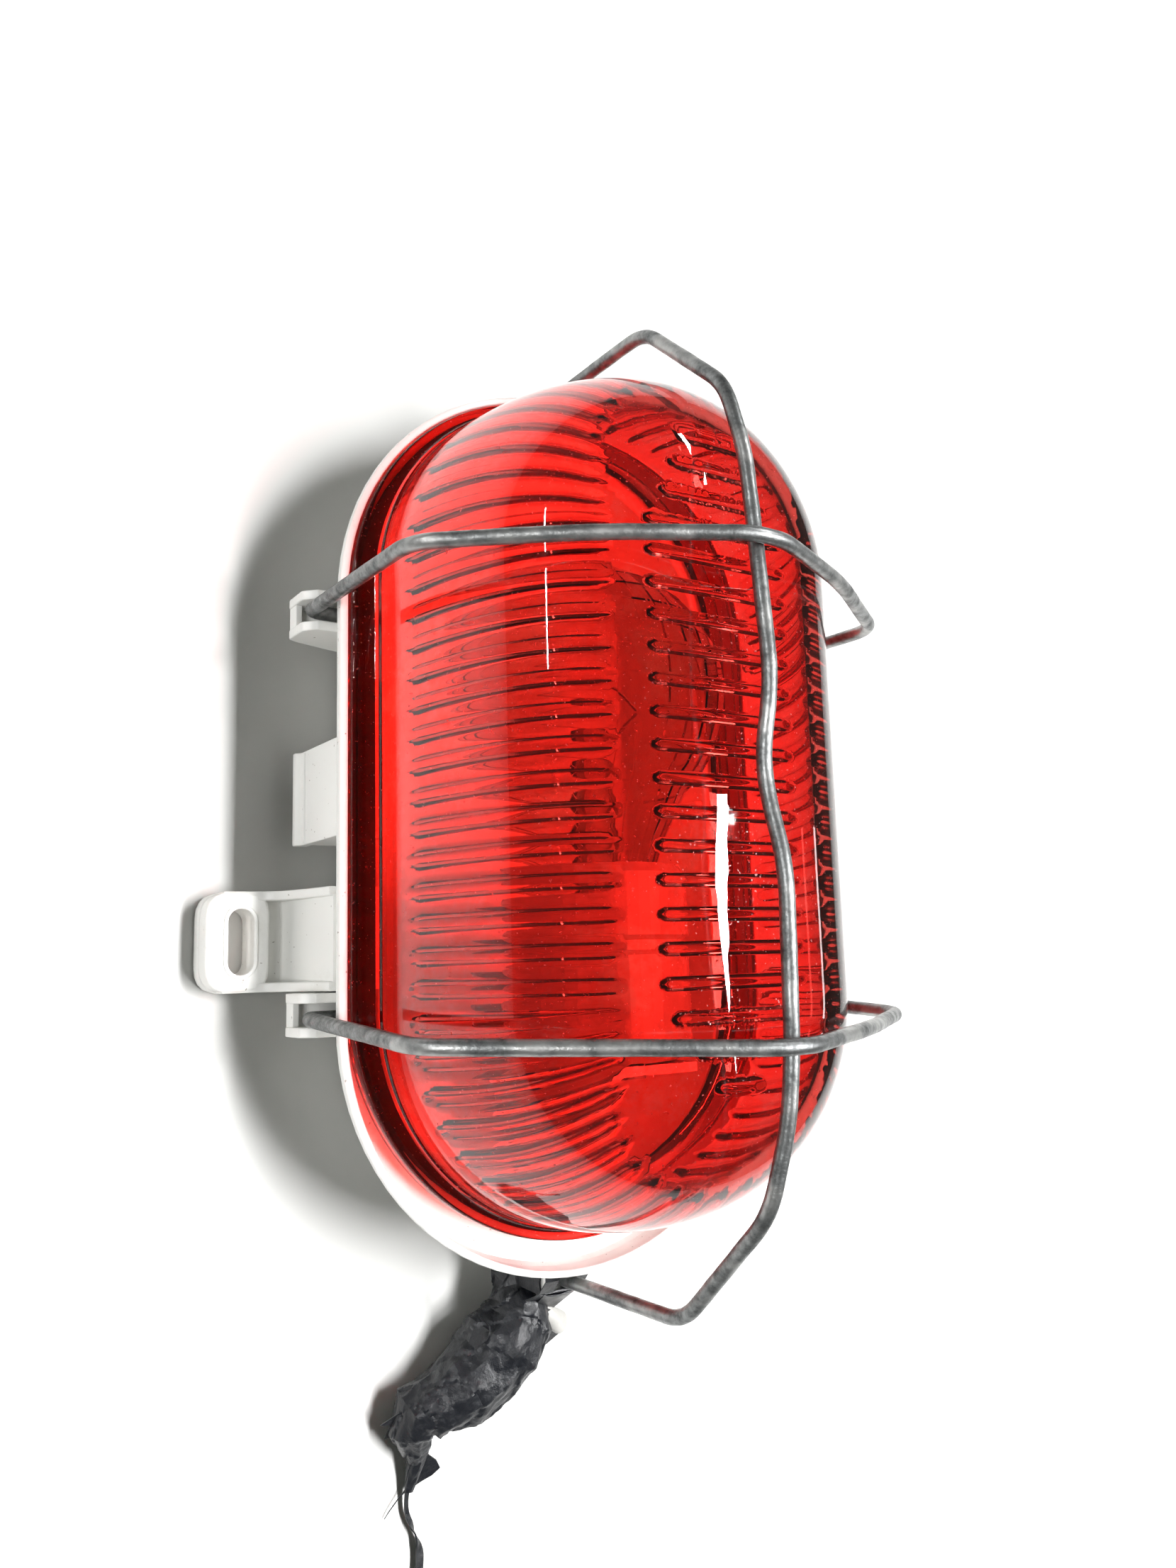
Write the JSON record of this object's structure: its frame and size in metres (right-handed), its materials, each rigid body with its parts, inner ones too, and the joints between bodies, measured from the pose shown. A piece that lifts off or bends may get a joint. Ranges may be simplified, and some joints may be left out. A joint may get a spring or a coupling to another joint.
{
  "type": "darkroom safelight",
  "caption": "Oval bulkhead lamp with a white plastic base, a red ribbed glass under a bent wire guard, and a short taped cable end, used as a darkroom safelight.",
  "frame": {"origin": "middle of the flat wall face of the base", "axes": "+Z away from the wall, out through the glass; +Y along the long axis, away from the cable end; +X across"},
  "size_m": [0.15, 0.2798, 0.1052],
  "materials": {
    "white_plastic": "satin moulded",
    "red_glass": "glossy, ribbed",
    "grey_wire": "galvanised, mottled",
    "black_rubber": "matt",
    "bakelite": "cream, polished",
    "brass": "plain",
    "steel": "plain",
    "ceramic": "glazed",
    "clear_glass": "clear",
    "black_glass": "opaque",
    "black_tape": "satin",
    "grey_sheath": "satin",
    "blue_core": "satin",
    "brown_core": "satin"
  },
  "bodies": {
    "base": {"base_tray": "white_plastic", "seal_ring": "black_rubber", "lampholder_body": "bakelite", "lampholder_shell": "brass", "lampholder_contact": "brass", "lampholder_bracket": "steel", "bracket_screw_left": "steel", "bracket_screw_right": "steel", "holder_screw_left": "steel", "holder_screw_right": "steel", "terminal_block": "ceramic", "terminal_screw_left": "brass", "terminal_screw_right": "brass", "holder_lead_left": "blue_core", "holder_lead_right": "brown_core", "cable_core_left": "blue_core", "cable_core_right": "brown_core", "cable_grommet": "black_rubber", "cable_stub": "grey_sheath", "tape_wrap": "black_tape", "tape_tail": "black_tape"},
    "guard": {"guard_long_wire": "grey_wire", "guard_upper_cross_wire": "grey_wire", "guard_lower_cross_wire": "grey_wire", "guard_hook_upper_left": "grey_wire", "guard_hook_upper_right": "grey_wire", "guard_hook_upper_end": "grey_wire", "guard_hook_lower_left": "grey_wire", "guard_hook_lower_right": "grey_wire", "guard_hook_lower_end": "grey_wire"},
    "glass": {"glass_globe": "red_glass"},
    "bulb": {"bulb_glass": "clear_glass", "bulb_cap_shell": "steel", "bulb_cap_insulator": "black_glass", "bulb_tip_contact": "brass", "bulb_stem": "clear_glass", "bulb_filament": "steel", "bulb_support_left": "steel", "bulb_support_right": "steel"}
  },
  "joints": [
    {"name": "guard_lift", "type": "slide", "parent": "base", "child": "guard", "axis": [0, 0, 1], "range_m": [0, 0.2], "deforming": ["guard_hook_upper_left", "guard_hook_upper_right", "guard_hook_upper_end", "guard_hook_lower_left", "guard_hook_lower_right", "guard_hook_lower_end"]},
    {"name": "glass_lift", "type": "slide", "parent": "base", "child": "glass", "axis": [0, 0, 1], "range_m": [0, 0.1]},
    {"name": "bulb_turn", "type": "hinge", "parent": "base", "child": "bulb", "pos_m": [0, -0.03, 0.042], "axis": [0, 1, 0], "continuous": true}
  ],
  "couplings": [
    {"joint": "glass_lift", "follows": "guard_lift", "ratio": 0.5}
  ]
}
